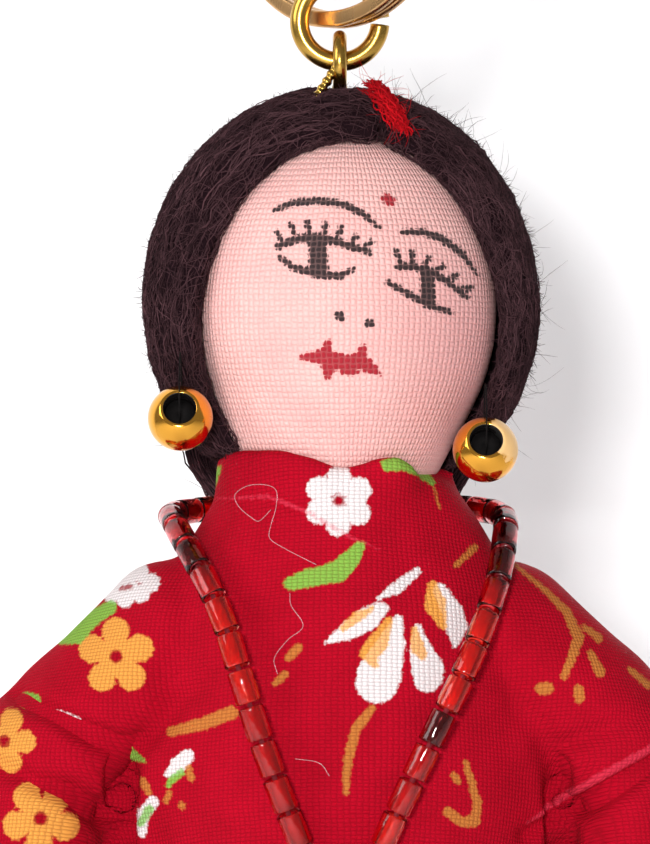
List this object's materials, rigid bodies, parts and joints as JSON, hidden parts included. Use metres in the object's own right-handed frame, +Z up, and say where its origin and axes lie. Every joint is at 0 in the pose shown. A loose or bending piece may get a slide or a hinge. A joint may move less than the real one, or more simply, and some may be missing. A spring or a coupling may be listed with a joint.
{
  "type": "cloth doll key-ring charm",
  "caption": "Stuffed cloth doll in Rajasthani dress with wool hair, gold bead earrings and a red glass bead necklace, hung from a brass eye, jump ring and key ring.",
  "frame": {"origin": "the inside top of the key ring, where a hook or finger holds it; the doll hangs straight down", "axes": "+Z up, the face looks along -Y, +X to the right of someone who looks at the face"},
  "size_m": [0.0596, 0.0348, 0.1427],
  "materials": {
    "brass": "polished wire",
    "key_ring_brass": "pale gold plate",
    "gold_bead": "gold metallised",
    "face_cotton": "plain weave",
    "hair_wool": "combed wool fibre",
    "red_thread": "fuzzy yarn",
    "dark_thread": "sewing thread",
    "cotton_stuffing": "loose cotton",
    "crimson_print": "printed plain weave",
    "gold_lace": "metallic ribbon",
    "red_glass": "clear with lined hole",
    "necklace_thread": "twisted thread"
  },
  "bodies": {
    "key_ring": {"key_ring": "key_ring_brass"},
    "jump_ring": {"jump_ring": "brass"},
    "head": {"screw_eye": "brass", "head_stuffing": "cotton_stuffing", "face_cloth": "face_cotton", "hair_left": "hair_wool", "hair_right": "hair_wool", "hair_back": "hair_wool", "parting_thread": "red_thread", "hair_tie": "red_thread"},
    "earring_left": {"earring_bead_left": "gold_bead", "earring_thread_left": "dark_thread"},
    "earring_right": {"earring_bead_right": "gold_bead", "earring_thread_right": "dark_thread"},
    "torso": {"blouse": "crimson_print", "torso_stuffing": "cotton_stuffing"},
    "arm_left": {"sleeve_left": "crimson_print", "arm_stuffing_left": "cotton_stuffing", "hand_left": "face_cotton"},
    "arm_right": {"sleeve_right": "crimson_print", "arm_stuffing_right": "cotton_stuffing", "hand_right": "face_cotton"},
    "skirt": {"skirt": "crimson_print", "waistband": "crimson_print", "hem_lace": "gold_lace"},
    "necklace": {"necklace_string": "necklace_thread", "necklace_bead_left_1": "red_glass", "necklace_bead_left_2": "red_glass", "necklace_bead_left_3": "red_glass", "necklace_bead_left_4": "red_glass", "necklace_bead_left_5": "red_glass", "necklace_bead_left_6": "red_glass", "necklace_bead_left_7": "red_glass", "necklace_bead_left_8": "red_glass", "necklace_bead_left_9": "red_glass", "necklace_bead_left_10": "red_glass", "necklace_bead_left_11": "red_glass", "necklace_bead_left_12": "red_glass", "necklace_bead_left_13": "red_glass", "necklace_bead_left_14": "red_glass", "necklace_bead_left_15": "red_glass", "necklace_bead_left_16": "red_glass", "necklace_bead_right_1": "red_glass", "necklace_bead_right_2": "red_glass", "necklace_bead_right_3": "red_glass", "necklace_bead_right_4": "red_glass", "necklace_bead_right_5": "red_glass", "necklace_bead_right_6": "red_glass", "necklace_bead_right_7": "red_glass", "necklace_bead_right_8": "red_glass", "necklace_bead_right_9": "red_glass", "necklace_bead_right_10": "red_glass", "necklace_bead_right_11": "red_glass", "necklace_bead_right_12": "red_glass", "necklace_bead_right_13": "red_glass", "necklace_bead_right_14": "red_glass", "necklace_bead_right_15": "red_glass", "necklace_bead_right_16": "red_glass"}
  },
  "joints": [
    {"name": "jump_ring_swing", "type": "hinge", "parent": "key_ring", "child": "jump_ring", "pos_m": [0, 0, -0.02305], "axis": [0.7071, -0.7071, 0], "range_deg": [-25, 25]},
    {"name": "doll_swing", "type": "hinge", "parent": "jump_ring", "child": "head", "pos_m": [0, 0, -0.02635], "axis": [1, 0, 0], "range_deg": [-30, 30]},
    {"name": "earring_left_swing", "type": "hinge", "parent": "head", "child": "earring_left", "pos_m": [-0.0122, -0.008, -0.0492], "axis": [0, 1, 0], "range_deg": [-5, 30]},
    {"name": "earring_right_swing", "type": "hinge", "parent": "head", "child": "earring_right", "pos_m": [0.0111, -0.008, -0.0516], "axis": [0, 1, 0], "range_deg": [-30, 5]},
    {"name": "neck_tilt", "type": "hinge", "parent": "head", "child": "torso", "pos_m": [0, 0, -0.0584], "axis": [0, 1, 0], "range_deg": [-6, 6], "stiffness_Nm_per_rad": 0.02},
    {"name": "shoulder_left", "type": "hinge", "parent": "torso", "child": "arm_left", "pos_m": [-0.013, 0, -0.071], "axis": [0, 1, 0], "range_deg": [-5, 45], "stiffness_Nm_per_rad": 0.03},
    {"name": "shoulder_right", "type": "hinge", "parent": "torso", "child": "arm_right", "pos_m": [0.013, 0, -0.071], "axis": [0, 1, 0], "range_deg": [-45, 5], "stiffness_Nm_per_rad": 0.03},
    {"name": "waist_swing", "type": "hinge", "parent": "torso", "child": "skirt", "pos_m": [0, 0, -0.0934], "axis": [1, 0, 0], "range_deg": [-15, 15]},
    {"name": "necklace_lift", "type": "hinge", "parent": "torso", "child": "necklace", "pos_m": [0, 0.0078, -0.0614], "axis": [1, 0, 0], "range_deg": [-15, 0]}
  ]
}
